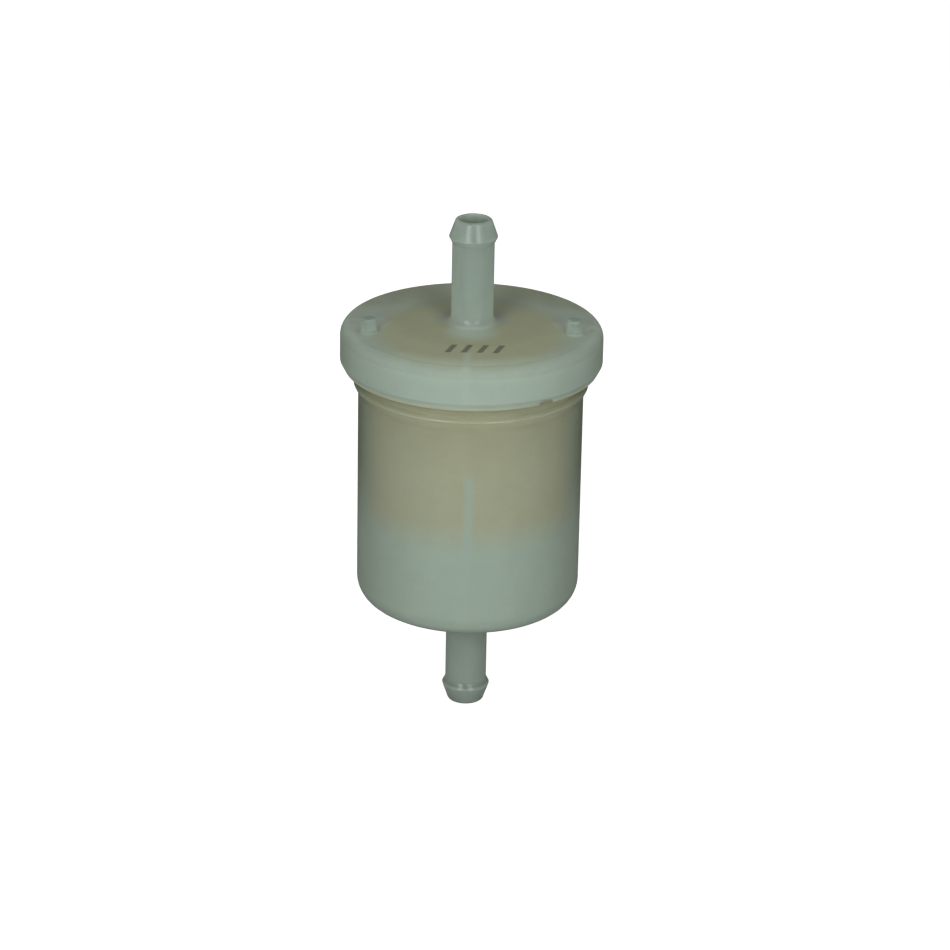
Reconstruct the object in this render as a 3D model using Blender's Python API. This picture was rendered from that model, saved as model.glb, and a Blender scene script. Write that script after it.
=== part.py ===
"""Disposable inline fuel filter for a small engine.

A welded nylon bowl and cap, each with a barbed hose spigot, hold a pleated paper element. Fuel enters
through the lower spigot, passes the pleats from outside to inside, and leaves through the upper spigot.
Every outline below is a list of (radius, height) points in millimetres. Height is counted from the end
face of the lower spigot, the origin is the centre of that face, and +Z runs up the filter's axis.
"""

import math

import bmesh
import bpy
from mathutils import Matrix, Vector

MM = 0.001
GAP = 0.3  # clearance between neighbouring pieces
SHELL_STEPS = 64  # sides of the bowl and the cap
PLATE_STEPS = 48  # sides of the end plates and the potting
SMALL_STEPS = 32  # sides of the core tube and the seal

# Hose spigots, for fuel hose of 6.35 mm (1/4 inch) bore.
BORE_R = 2.1
TUBE_R = 3.25
BARB_R = 3.75
TIP_R = 2.95
TIP_ROUNDING = 0.5
MOUTH_ROUNDING = 0.2
BARB_CONE = 2.85  # height from the end face to the barb's widest ring
BARB_FOOT = 3.8  # height from the end face to the foot of the barb's back slope
ROOT_FILLET = 1.2

# Bowl.
LENGTH = 80.5
BOWL_R = 17.42
BOWL_WALL = 1.7
BOWL_BOTTOM_Z = 17.9
BOWL_FLOOR = 2.0
BOTTOM_ROUNDING = 3.8
BEAD_R = 18.2  # the shoulder bead under the cap, at its widest ring
BEAD_TOP_Z = 54.85
BEAD_Z = 54.2
BEAD_FOOT_Z = 52.7
NECK_R = 17.55
BOWL_TOP_Z = 60.0

# Guide ribs inside the bowl: they centre the element, and it stands on their ledges.
RIB_COUNT = 4
RIB_WIDTH = 1.1
RIB_TOP_Z = 45.0
RIB_INNER_R = 14.95
RIB_LEDGE_R = 13.2
RIB_LEDGE_Z = 33.4

# Cap.
CAP_R = 20.25
CAP_TOP_Z = 64.05  # at the centre
CAP_EDGE_Z = 63.55  # where the crowned top meets its edge rounding
CAP_EDGE_ROUNDING = 1.88
CAP_CHAMFER_Z = 57.95
CAP_CHAMFER_R = 19.55
CAP_BOTTOM_Z = 56.6
CAP_BOTTOM_ROUNDING = 0.3
CAP_INNER_TOP_Z = 61.5
CAP_INNER_R = NECK_R + GAP
BOSS_R = 4.2
BOSS_END_Z = 56.4
STUD_R = 1.25
STUD_RISE = 2.2
STUD_PLACES = ((-15.7, -4.8), (15.6, -3.85))  # centres of the two studs seen from above
GUSSET_WIDTH = 1.0
GUSSET_INNER_R = 15.1
GUSSET_BOTTOM_Z = BOWL_TOP_Z + GAP
GUSSET_START_AZIMUTH = -92.2
NOTCH_AZIMUTH = -54.2
NOTCH_HALF_WIDTH = 1.05
NOTCH_INNER_R = 18.6
NOTCH_TOP_Z = (57.65, 57.3)  # at its clockwise end and at its other end

# Pleated element.
ELEMENT_R = 14.6
DISC_THICKNESS = 0.9
ELEMENT_BOTTOM_Z = RIB_LEDGE_Z + GAP
ELEMENT_TOP_Z = CAP_INNER_TOP_Z - GAP
POTTING_THICKNESS = 0.8
POTTING_R = 14.3
PLEAT_COUNT = 32
PLEAT_OUTER_R = 14.3
PLEAT_INNER_R = 8.6
PAPER_THICKNESS = 0.55
FOLD_STEPS = 2
CORE_OUTER_R = 8.0
CORE_INNER_R = 6.9
CORE_SLOT_COUNT = 8
CORE_SLOT_ROWS = 3
CORE_SLOT_WIDTH = 3.0
CORE_BRIDGE = 1.6  # height of the rings left between rows of slots
COLLAR_INNER_R = 4.6
COLLAR_OUTER_R = 5.9
COLLAR_END_Z = 56.4
SEAL_GROOVE_R = 3.2
SEAL_GROOVE_TOP_Z = 59.6
SEAL_GROOVE_HEIGHT = 1.9
SEAL_SECTION_R = 0.4
SEAM_PLEAT = 20  # the outward fold that holds the paper's seam
SEAM_THICKNESS = 0.35

# Base colour, roughness and metallic value of each material.
NYLON = ((0.62, 0.70, 0.60, 1.0), 0.32, 0.0)
PAPER = ((0.74, 0.62, 0.40, 1.0), 0.85, 0.0)
PAPER_PLATE = ((0.55, 0.50, 0.38, 1.0), 0.80, 0.0)
ADHESIVE = ((0.78, 0.70, 0.48, 1.0), 0.45, 0.0)
CORE_PLASTIC = ((0.75, 0.75, 0.70, 1.0), 0.50, 0.0)
RUBBER = ((0.03, 0.03, 0.03, 1.0), 0.60, 0.0)
SEAM_TAPE = ((0.70, 0.66, 0.52, 1.0), 0.60, 0.0)


def arc(centre_r, centre_z, radius, start, end, steps):
    """Points on a circle in the outline's plane, from start to end degrees (0 points away from the axis)."""
    angles = [math.radians(start + (end - start) * i / steps) for i in range(steps + 1)]
    return [(centre_r + radius * math.cos(a), centre_z + radius * math.sin(a)) for a in angles]


def at_azimuth(degrees):
    return Matrix.Rotation(math.radians(degrees), 4, "Z")


def finish_mesh(bm, name, shade=40):
    """Turns a bmesh in millimetres into a smooth-shaded mesh in metres with its faces pointing out."""
    bmesh.ops.remove_doubles(bm, verts=bm.verts, dist=1e-5)
    bmesh.ops.recalc_face_normals(bm, faces=bm.faces)
    bmesh.ops.scale(bm, vec=(MM, MM, MM), verts=bm.verts)
    mesh = bpy.data.meshes.new(name)
    bm.to_mesh(mesh)
    bm.free()
    mesh.shade_smooth()
    mesh.set_sharp_from_angle(angle=math.radians(shade))
    return mesh


def add_object(name, mesh, material=None):
    obj = bpy.data.objects.new(name, mesh)
    bpy.context.scene.collection.objects.link(obj)
    if material:
        mesh.materials.append(material)
    return obj


def turned_mesh(name, outline, steps):
    """The closed outline spun once about the axis."""
    bm = bmesh.new()
    verts = [bm.verts.new((r, 0.0, z)) for r, z in outline]
    edges = [bm.edges.new((verts[i - 1], verts[i])) for i in range(len(verts))]
    bmesh.ops.spin(
        bm,
        geom=verts + edges,
        cent=(0, 0, 0),
        axis=(0, 0, 1),
        angle=math.tau,
        steps=steps,
        use_merge=True,
    )
    return finish_mesh(bm, name)


def extruded_mesh(name, corners, depth, matrix):
    """A flat polygon of (x, z) corners, extruded by depth, centred on y = 0, then placed by matrix."""
    bm = bmesh.new()
    face = bm.faces.new([bm.verts.new((x, -depth / 2, z)) for x, z in corners])
    made = bmesh.ops.extrude_face_region(bm, geom=[face])
    moved = [v for v in made["geom"] if isinstance(v, bmesh.types.BMVert)]
    bmesh.ops.translate(bm, vec=(0, depth, 0), verts=moved)
    bmesh.ops.transform(bm, matrix=matrix, verts=bm.verts)
    return finish_mesh(bm, name)


def principled(name, values):
    colour, roughness, metallic = values
    material = bpy.data.materials.new(name)
    material.use_nodes = True
    shader = material.node_tree.nodes["Principled BSDF"]
    shader.inputs["Base Color"].default_value = colour
    shader.inputs["Roughness"].default_value = roughness
    shader.inputs["Metallic"].default_value = metallic
    return material


def boolean(target, tool, operation):
    """Adds an exact Boolean with a hidden tool object."""
    tool.hide_render = True
    tool.display_type = "WIRE"
    modifier = target.modifiers.new(tool.name, "BOOLEAN")
    modifier.operation = operation
    modifier.object = tool


def barb_outline():
    """The barb from its foot to the bore mouth, as (radius, distance from the end face)."""
    edge = arc(TIP_R - TIP_ROUNDING, TIP_ROUNDING, TIP_ROUNDING, 10, -90, 3)
    mouth = arc(BORE_R + MOUTH_ROUNDING, MOUTH_ROUNDING, MOUTH_ROUNDING, -90, -180, 2)
    crest = [(BARB_R - 0.06, BARB_CONE + 0.2), (BARB_R, BARB_CONE), (BARB_R - 0.06, BARB_CONE - 0.2)]
    return [(TUBE_R, BARB_FOOT), *crest, *edge, *mouth]


def bowl_outline():
    """From the neck's rim down the outside to the lower spigot, then back up the bore and the inside."""
    inner_r = BOWL_R - BOWL_WALL
    floor_z = BOWL_BOTTOM_Z + BOWL_FLOOR
    inner_rounding = BOTTOM_ROUNDING - BOWL_WALL
    bottom_z = BOWL_BOTTOM_Z
    points = [(NECK_R, BOWL_TOP_Z), (NECK_R, BEAD_TOP_Z)]
    points += [(BEAD_R - 0.08, BEAD_Z + 0.15), (BEAD_R, BEAD_Z), (BEAD_R - 0.08, BEAD_Z - 0.25)]
    points += [(BOWL_R, BEAD_FOOT_Z)]
    points += arc(BOWL_R - BOTTOM_ROUNDING, bottom_z + BOTTOM_ROUNDING, BOTTOM_ROUNDING, 0, -90, 7)
    points += arc(TUBE_R + ROOT_FILLET, bottom_z - ROOT_FILLET, ROOT_FILLET, 90, 180, 3)
    points += barb_outline()
    points += [(BORE_R, floor_z)]
    points += arc(inner_r - inner_rounding, floor_z + inner_rounding, inner_rounding, -90, 0, 4)
    points += [(inner_r, BOWL_TOP_Z)]
    return points


def cap_top_z(r):
    """Height of the crowned top at radius r: a parabola from the centre to the edge rounding."""
    edge_r = CAP_R - CAP_EDGE_ROUNDING
    return CAP_TOP_Z - (CAP_TOP_Z - CAP_EDGE_Z) * (r / edge_r) ** 2


def cap_outline():
    """From the upper spigot down the outside to the rim, then up the inside to the boss and the bore."""
    edge_r = CAP_R - CAP_EDGE_ROUNDING
    spigot = [(r, LENGTH - z) for r, z in barb_outline()]
    fillet_r = TUBE_R + ROOT_FILLET
    points = list(reversed(spigot))
    points += arc(fillet_r, cap_top_z(fillet_r) + ROOT_FILLET, ROOT_FILLET, 180, 270, 3)
    points += [(r, cap_top_z(r)) for r in (8.0, 12.0, 15.5)]
    points += arc(edge_r, CAP_EDGE_Z - CAP_EDGE_ROUNDING, CAP_EDGE_ROUNDING, 88, 0, 5)
    points += [(CAP_R, CAP_CHAMFER_Z)]
    rim_r = CAP_CHAMFER_R - CAP_BOTTOM_ROUNDING
    points += arc(rim_r, CAP_BOTTOM_Z + CAP_BOTTOM_ROUNDING, CAP_BOTTOM_ROUNDING, -20, -90, 2)
    points += [(CAP_INNER_R, CAP_BOTTOM_Z), (CAP_INNER_R, CAP_INNER_TOP_Z)]
    points += [(BOSS_R, CAP_INNER_TOP_Z), (BOSS_R, SEAL_GROOVE_TOP_Z), (SEAL_GROOVE_R, SEAL_GROOVE_TOP_Z)]
    points += [(SEAL_GROOVE_R, SEAL_GROOVE_TOP_Z - SEAL_GROOVE_HEIGHT)]
    points += [(BOSS_R, SEAL_GROOVE_TOP_Z - SEAL_GROOVE_HEIGHT), (BOSS_R, BOSS_END_Z), (BORE_R, BOSS_END_Z)]
    return points


def rib_corners():
    """Side view of one guide rib, with its foot and its back sunk into the bowl's floor and wall."""
    sunk = 0.8
    back_r = BOWL_R - BOWL_WALL + sunk
    foot_z = BOWL_BOTTOM_Z + BOWL_FLOOR - sunk
    foot_r = BOWL_R - BOTTOM_ROUNDING
    return [
        (RIB_LEDGE_R, foot_z),
        (foot_r, foot_z),
        (back_r - 0.3, foot_z + 1.6),
        (back_r, foot_z + 3.0),
        (back_r, RIB_TOP_Z - 0.3),
        (RIB_INNER_R + 0.3, RIB_TOP_Z),
        (RIB_INNER_R, RIB_TOP_Z - 0.4),
        (RIB_INNER_R, RIB_LEDGE_Z),
        (RIB_LEDGE_R, RIB_LEDGE_Z),
    ]


def build_bowl(material):
    bowl = add_object("bowl", turned_mesh("bowl", bowl_outline(), SHELL_STEPS), material)
    for i in range(RIB_COUNT):
        turn = at_azimuth(360 * i / RIB_COUNT - 90)
        rib = add_object(f"rib_tool_{i}", extruded_mesh("rib", rib_corners(), RIB_WIDTH, turn))
        boolean(bowl, rib, "UNION")
    return bowl


def stud_mesh(x, y):
    """A round stud with a softened top edge, its foot sunk into the cap's top."""
    sunk = 0.8
    crown_z = cap_top_z(math.hypot(x, y))
    foot_z = crown_z - sunk
    top_z = crown_z + STUD_RISE
    edge = arc(STUD_R - 0.3, top_z - 0.3, 0.3, 0, 90, 2)
    mesh = turned_mesh("stud", [(0, foot_z), (STUD_R, foot_z), *edge, (0, top_z)], steps=20)
    mesh.transform(Matrix.Translation(Vector((x * MM, y * MM, 0))))
    return mesh


def gusset_corners():
    """Side view of one short rib in the corner between the cap's top and its skirt."""
    sunk = 0.7
    outer_r = CAP_INNER_R + sunk
    return [
        (GUSSET_INNER_R, GUSSET_BOTTOM_Z + 0.4),
        (GUSSET_INNER_R + 0.4, GUSSET_BOTTOM_Z),
        (outer_r, GUSSET_BOTTOM_Z),
        (outer_r, CAP_INNER_TOP_Z + sunk),
        (GUSSET_INNER_R, CAP_INNER_TOP_Z + sunk),
    ]


def notch_mesh():
    """A shallow slot in the lip of the rim: one end is steep, and the top slopes down to the other."""
    foot_z = CAP_BOTTOM_Z - 1.0
    high_z, low_z = NOTCH_TOP_Z
    corners = [
        (-NOTCH_HALF_WIDTH - 0.9, foot_z),
        (NOTCH_HALF_WIDTH + 0.9, foot_z),
        (NOTCH_HALF_WIDTH, low_z),
        (-NOTCH_HALF_WIDTH, high_z),
    ]
    outer_r = CAP_R + 1.0
    place = Matrix.Translation(Vector((0, -(NOTCH_INNER_R + outer_r) / 2, 0)))
    return extruded_mesh("notch", corners, outer_r - NOTCH_INNER_R, at_azimuth(NOTCH_AZIMUTH + 90) @ place)


def build_cap(material):
    cap = add_object("cap", turned_mesh("cap", cap_outline(), SHELL_STEPS), material)
    for i, (x, y) in enumerate(STUD_PLACES):
        boolean(cap, add_object(f"stud_tool_{i}", stud_mesh(x, y)), "UNION")
    for i in range(RIB_COUNT):
        turn = at_azimuth(360 * i / RIB_COUNT + GUSSET_START_AZIMUTH)
        tool = add_object(f"gusset_tool_{i}", extruded_mesh("gusset", gusset_corners(), GUSSET_WIDTH, turn))
        boolean(cap, tool, "UNION")
    boolean(cap, add_object("notch_tool", notch_mesh()), "DIFFERENCE")
    return cap


def lower_disc_outline():
    """The closed end plate: a shallow dish with a locating button inside the core tube."""
    bottom = ELEMENT_BOTTOM_Z
    top = bottom + DISC_THICKNESS
    button_r = CORE_INNER_R - GAP
    button_z = top + POTTING_THICKNESS + GAP + 1.2
    return [
        (0, bottom),
        (ELEMENT_R - 0.25, bottom),
        (ELEMENT_R, bottom + 0.25),
        (ELEMENT_R, top),
        (button_r, top),
        (button_r, button_z - 0.3),
        (button_r - 0.3, button_z),
        (0, button_z),
    ]


def upper_disc_outline():
    """The open end plate, with the collar that plugs onto the cap's outlet boss."""
    top = ELEMENT_TOP_Z
    bottom = top - DISC_THICKNESS
    return [
        (COLLAR_INNER_R, COLLAR_END_Z),
        (COLLAR_OUTER_R, COLLAR_END_Z),
        (COLLAR_OUTER_R, bottom),
        (ELEMENT_R, bottom),
        (ELEMENT_R, top - 0.25),
        (ELEMENT_R - 0.25, top),
        (COLLAR_INNER_R, top),
    ]


def ring_outline(inner_r, outer_r, bottom_z, top_z):
    return [(inner_r, bottom_z), (outer_r, bottom_z), (outer_r, top_z), (inner_r, top_z)]


def paper_bottom_z():
    return ELEMENT_BOTTOM_Z + DISC_THICKNESS + POTTING_THICKNESS + 2 * GAP


def paper_top_z():
    return ELEMENT_TOP_Z - DISC_THICKNESS - POTTING_THICKNESS - 2 * GAP


def pleat_line(offset):
    """The folded line of the paper seen from above, moved sideways by offset from its middle."""
    points = []
    half_pitch = math.pi / PLEAT_COUNT
    fold_r = PAPER_THICKNESS * 1.1
    for i in range(2 * PLEAT_COUNT):
        outward = i % 2 == 0
        angle = i * half_pitch
        centre_r = PLEAT_OUTER_R - fold_r if outward else PLEAT_INNER_R + fold_r
        centre = Vector((math.cos(angle), math.sin(angle))) * centre_r
        radius = fold_r - PAPER_THICKNESS / 2 + (offset if outward else -offset)
        facing = angle if outward else angle + math.pi
        for step in range(FOLD_STEPS + 1):
            sweep = math.radians(-80 + 160 * step / FOLD_STEPS)
            turn = facing + (sweep if outward else -sweep)
            points.append(centre + radius * Vector((math.cos(turn), math.sin(turn))))
    return points


def build_paper(material):
    """The star of pleats: two parallel folded lines, bridged and extruded over the element's height."""
    bm = bmesh.new()
    rings = []
    for z in (paper_bottom_z(), paper_top_z()):
        for offset in (PAPER_THICKNESS / 2, -PAPER_THICKNESS / 2):
            verts = [bm.verts.new((p.x, p.y, z)) for p in pleat_line(offset)]
            rings.append(verts)
    outer_low, inner_low, outer_high, inner_high = rings
    sides = (
        (outer_low, outer_high),
        (outer_high, inner_high),
        (inner_high, inner_low),
        (inner_low, outer_low),
    )
    for a, b in sides:
        for i in range(len(a)):
            bm.faces.new((a[i - 1], a[i], b[i], b[i - 1]))
    return add_object("pleated_paper", finish_mesh(bm, "pleated_paper"), material)


def slot_tool(bottom_z, top_z, azimuth):
    """A box that cuts one slot through the wall of the core tube."""
    middle_r = (CORE_INNER_R + CORE_OUTER_R) / 2
    corners = [
        (middle_r - 1.5, bottom_z),
        (middle_r + 1.5, bottom_z),
        (middle_r + 1.5, top_z),
        (middle_r - 1.5, top_z),
    ]
    return extruded_mesh("core_slot", corners, CORE_SLOT_WIDTH, at_azimuth(azimuth))


def build_core(material):
    bottom = ELEMENT_BOTTOM_Z + DISC_THICKNESS + GAP
    top = ELEMENT_TOP_Z - DISC_THICKNESS - GAP
    outline = ring_outline(CORE_INNER_R, CORE_OUTER_R, bottom, top)
    core = add_object("core_tube", turned_mesh("core_tube", outline, SMALL_STEPS), material)
    slot_start = paper_bottom_z() + CORE_BRIDGE
    pitch = (paper_top_z() - slot_start) / CORE_SLOT_ROWS
    for row in range(CORE_SLOT_ROWS):
        low = slot_start + row * pitch
        for i in range(CORE_SLOT_COUNT):
            mesh = slot_tool(low, low + pitch - CORE_BRIDGE, 360 * i / CORE_SLOT_COUNT)
            boolean(core, add_object(f"slot_tool_{row}_{i}", mesh), "DIFFERENCE")
    return core


def build_seal(material):
    """The rubber ring that sits in the outlet boss's groove."""
    middle_r = SEAL_GROOVE_R + GAP + SEAL_SECTION_R
    middle_z = SEAL_GROOVE_TOP_Z - SEAL_GROOVE_HEIGHT / 2
    section = arc(middle_r, middle_z, SEAL_SECTION_R, 0, 360, 10)[:-1]
    return add_object("outlet_seal", turned_mesh("outlet_seal", section, SMALL_STEPS), material)


def build_seam(material):
    """A thin strip standing in the mouth of one pleat, between its two flanks."""
    azimuth = math.degrees((2 * SEAM_PLEAT + 1) * math.pi / PLEAT_COUNT)
    corners = ring_outline(PLEAT_OUTER_R - 3.2, PLEAT_OUTER_R - 0.4, paper_bottom_z(), paper_top_z())
    mesh = extruded_mesh("seam_strip", corners, SEAM_THICKNESS, at_azimuth(azimuth))
    return add_object("seam_strip", mesh, material)


def build_element():
    lower_potting_z = ELEMENT_BOTTOM_Z + DISC_THICKNESS + GAP
    upper_potting_z = ELEMENT_TOP_Z - DISC_THICKNESS - GAP
    potting_inner_r = CORE_OUTER_R + GAP
    plate = principled("end_plate", PAPER_PLATE)
    adhesive = principled("adhesive", ADHESIVE)
    lower_ring = ring_outline(
        potting_inner_r, POTTING_R, lower_potting_z, lower_potting_z + POTTING_THICKNESS
    )
    upper_ring = ring_outline(
        potting_inner_r, POTTING_R, upper_potting_z - POTTING_THICKNESS, upper_potting_z
    )
    add_object("lower_end_disc", turned_mesh("lower_end_disc", lower_disc_outline(), PLATE_STEPS), plate)
    add_object("upper_end_disc", turned_mesh("upper_end_disc", upper_disc_outline(), PLATE_STEPS), plate)
    add_object("lower_potting", turned_mesh("lower_potting", lower_ring, PLATE_STEPS), adhesive)
    add_object("upper_potting", turned_mesh("upper_potting", upper_ring, PLATE_STEPS), adhesive)
    build_paper(principled("filter_paper", PAPER))
    build_core(principled("core_plastic", CORE_PLASTIC))
    build_seal(principled("rubber", RUBBER))
    build_seam(principled("seam_tape", SEAM_TAPE))


def main():
    for obj in list(bpy.data.objects):
        bpy.data.objects.remove(obj)
    nylon = principled("milky_nylon", NYLON)
    build_bowl(nylon)
    build_cap(nylon)
    build_element()


main()
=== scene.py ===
"""Looks of an inline fuel filter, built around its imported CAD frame.

The bowl and the cap are turned shells of milky nylon. The paper element inside them shows through only as
a blurred cream tint, so the shells carry that tint in their own material. Outlines are closed lists of
(radius, height, rounding) corners in millimetres, turned about the filter's axis, which is the Z axis.
"""

import math

import bmesh
import bpy
from mathutils import Matrix, Vector, noise


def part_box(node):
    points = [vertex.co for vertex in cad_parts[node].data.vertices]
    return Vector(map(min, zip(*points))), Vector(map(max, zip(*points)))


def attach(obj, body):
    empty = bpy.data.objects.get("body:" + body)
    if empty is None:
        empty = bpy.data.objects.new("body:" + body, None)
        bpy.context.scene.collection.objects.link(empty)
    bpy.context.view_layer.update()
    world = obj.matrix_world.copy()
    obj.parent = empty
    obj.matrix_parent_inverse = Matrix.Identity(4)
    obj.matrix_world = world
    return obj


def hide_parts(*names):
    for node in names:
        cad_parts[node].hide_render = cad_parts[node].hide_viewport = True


MM = 0.001
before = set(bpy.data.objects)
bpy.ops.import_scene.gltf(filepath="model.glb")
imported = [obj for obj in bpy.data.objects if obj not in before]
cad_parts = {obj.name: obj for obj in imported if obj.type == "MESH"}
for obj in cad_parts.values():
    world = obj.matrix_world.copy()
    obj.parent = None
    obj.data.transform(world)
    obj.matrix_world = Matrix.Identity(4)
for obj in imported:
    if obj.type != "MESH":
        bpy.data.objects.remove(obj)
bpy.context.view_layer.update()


def box_mm(node):
    """Lowest and highest corner of a CAD node in millimetres."""
    low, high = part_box(node)
    return low / MM, high / MM


# Places taken from the frame.
BOWL_TOP_Z = box_mm("bowl")[1].z
BEAD_R = box_mm("bowl")[1].x
CAP_R = box_mm("cap")[1].x
LENGTH = box_mm("cap")[1].z
BOSS_END_Z = box_mm("cap")[0].z
PAPER_BOTTOM_Z = box_mm("pleated_paper")[0].z
PAPER_TOP_Z = box_mm("pleated_paper")[1].z
PLEAT_OUTER_R = box_mm("pleated_paper")[1].x
LOWER_DISC = box_mm("lower_end_disc")
UPPER_DISC = box_mm("upper_end_disc")
LOWER_POTTING = box_mm("lower_potting")
UPPER_POTTING = box_mm("upper_potting")
CORE = box_mm("core_tube")
SEAL = box_mm("outlet_seal")

# Mesh fineness.
SHELL_STEPS = 192
INNER_STEPS = 128
STUD_STEPS = 48
SEAL_STEPS = 36
ARC_STEP = math.radians(9)

# Hose spigots.
BORE_R = 2.1
TUBE_R = 3.25
BARB_R = 3.75
BARB_CONE = 2.85
BARB_FOOT = 3.8
TIP_R = 2.75
TIP_ROUNDING = 0.6
ROOT_FILLET = 1.2

# Bowl.
BOWL_R = 17.42
BOWL_WALL = 1.7
BOWL_BOTTOM_Z = 17.9
BOWL_FLOOR_Z = BOWL_BOTTOM_Z + 2.0
BOTTOM_ROUNDING = 3.8
NECK_R = 17.55
BEAD_TOP_Z = 54.85
BEAD_Z = 54.2
BEAD_FOOT_Z = 52.7
RIB_COUNT = 4
RIB_WIDTH = 1.1
RIB_TOP_Z = 45.0
RIB_INNER_R = 14.95
RIB_LEDGE_R = 13.2
RIB_LEDGE_Z = 33.4

# Cap.
CAP_TOP_Z = 64.05
CAP_CROWN = 0.5
CAP_EDGE_ROUNDING = 1.88
CROWN_R = CAP_R - CAP_EDGE_ROUNDING
CAP_BEND_Z = 63.4
CAP_CHAMFER_Z = 57.95
CAP_RIM_R = 19.55
CAP_BOTTOM_Z = 56.6
CAP_INNER_R = NECK_R + 0.3
CAP_INNER_TOP_Z = 61.5
BOSS_R = 4.2
SEAL_GROOVE_R = 3.2
SEAL_GROOVE_TOP_Z = 59.6
SEAL_GROOVE_BOTTOM_Z = 57.7
STUD_R = 1.25
STUD_RISE = 2.2
STUD_FLARE = 0.4
STUD_PLACES = ((-15.7, -4.8), (15.6, -3.85))
GUSSET_WIDTH = 1.0
GUSSET_INNER_R = 15.1
GUSSET_BOTTOM_Z = BOWL_TOP_Z + 0.3
GUSSET_AZIMUTH = -92.2
NOTCH_AZIMUTH = -54.2
NOTCH_HALF_WIDTH = 1.05
NOTCH_INNER_R = 18.6
NOTCH_TOP_Z = (57.65, 57.3)

# Paper element, between its two end plates, and the seal above it.
GAP = 0.3
SEAL_FLASH = 0.03
CORE_WALL = 1.1
SLOT_COUNT = 8
SLOT_ROWS = 3
SLOT_WIDTH = 3.0
SLOT_BRIDGE = 1.6
DISH_DEPTH = 0.25
DISH_FLOOR_R = 4.0
DISH_R = 4.6
COLLAR_INNER_R = 4.6
COLLAR_OUTER_R = 5.9
PLEAT_COUNT = 32
PLEAT_INNER_R = 8.6
PAPER_THICKNESS = 0.45
FOLD_R = 0.6
FOLD_STEPS = 6
FOLD_SWEEP = 160
PLEAT_LEVELS = 14
PLEAT_RIPPLE = 0.09
SEAM_FOLD = 41
SEAM_AZIMUTH = SEAM_FOLD * 180 / PLEAT_COUNT
SEAM_INSET = 0.4
SEAM_LENGTH = 2.8
SEAM_THICKNESS = 0.35

# Ink ticks printed on the cap's top, in front of the spigot.
INK_ROW_Y = -11.95
INK_HEIGHT = 3.2
INK_WIDTH = 0.9
INK_LEAN = 0.35
INK_COUNT = 4
INK_PITCH = 2.4
INK_FIRST_X = -3.07
INK_STRENGTH = 0.75

# How far below the surface of the cap the paper element seems to lie.
CAP_SEEN_DEPTH = 5.2

# Floor: half its side, and how far it lies under the lower spigot.
FLOOR_HALF_SIZE = 3000
FLOOR_DROP = 0.1

# Camera, in metres, degrees and the lens's own millimetres.
CAMERA_AIM = Vector((0.0009, 0.0, 0.03839))
CAMERA_DISTANCE = 0.57723
CAMERA_ELEVATION = 22.356
CAMERA_ROLL = 1.094
CAMERA_LENS = 140.2

# Lights: two tall strips in front and two dim squares behind, in metres, degrees and watts.
LIGHT_DISTANCE = 0.32
KEY_AZIMUTH = 27.0
KEY_ELEVATION = 21.0
KEY_SIZE = (0.125, 0.28)
KEY_LEFT_POWER = 0.475
KEY_RIGHT_POWER = 0.43
BACK_AZIMUTH = 140.0
BACK_ELEVATION = 0.0
BACK_SIZE = (0.15, 0.15)
BACK_POWER = 0.25


def rounded(corners):
    """Points of a closed outline whose corners are replaced by tangent arcs."""
    points = []
    for i, (r, z, rounding) in enumerate(corners):
        corner = Vector((r, z))
        if rounding == 0:
            points.append(corner)
            continue
        before = (Vector(corners[i - 1][:2]) - corner).normalized()
        after = (Vector(corners[(i + 1) % len(corners)][:2]) - corner).normalized()
        half = before.angle(after) / 2
        centre = corner + (before + after).normalized() * rounding / math.sin(half)
        start = corner + before * rounding / math.tan(half) - centre
        end = corner + after * rounding / math.tan(half) - centre
        sweep = math.atan2(start.cross(end), start.dot(end))
        steps = max(2, round(abs(sweep) / ARC_STEP))
        for k in range(steps + 1):
            points.append(centre + Matrix.Rotation(sweep * k / steps, 2) @ start)
    return points


def at_azimuth(degrees):
    return Matrix.Rotation(math.radians(degrees), 4, "Z")


def to_object(bm, name):
    """Turns a bmesh in millimetres into an object in metres with its faces pointing out."""
    bmesh.ops.remove_doubles(bm, verts=bm.verts, dist=1e-5)
    bmesh.ops.recalc_face_normals(bm, faces=bm.faces)
    bmesh.ops.scale(bm, vec=(MM, MM, MM), verts=bm.verts)
    mesh = bpy.data.meshes.new(name)
    bm.to_mesh(mesh)
    bm.free()
    obj = bpy.data.objects.new(name, mesh)
    bpy.context.scene.collection.objects.link(obj)
    return obj


def turned_bmesh(points, steps):
    """The closed outline spun once about the Z axis."""
    bm = bmesh.new()
    verts = [bm.verts.new((r, 0.0, z)) for r, z in points]
    edges = [bm.edges.new((verts[i - 1], verts[i])) for i in range(len(verts))]
    bmesh.ops.spin(
        bm,
        geom=verts + edges,
        cent=(0, 0, 0),
        axis=(0, 0, 1),
        angle=math.tau,
        steps=steps,
        use_merge=True,
    )
    wires = [edge for edge in bm.edges if edge.is_wire]
    bmesh.ops.delete(bm, geom=wires, context="EDGES")
    return bm


def turned(name, corners, steps=INNER_STEPS):
    return to_object(turned_bmesh(rounded(corners), steps), name)


def slab(name, corners, depth, matrix):
    """A flat (x, z) outline, extruded depth millimetres centred on y = 0, then placed by matrix."""
    bm = bmesh.new()
    face = bm.faces.new([bm.verts.new((x, -depth / 2, z)) for x, z in rounded(corners)])
    made = bmesh.ops.extrude_face_region(bm, geom=[face])
    moved = [v for v in made["geom"] if isinstance(v, bmesh.types.BMVert)]
    bmesh.ops.translate(bm, vec=(0, depth, 0), verts=moved)
    bmesh.ops.transform(bm, matrix=matrix, verts=bm.verts)
    return to_object(bm, name)


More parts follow.
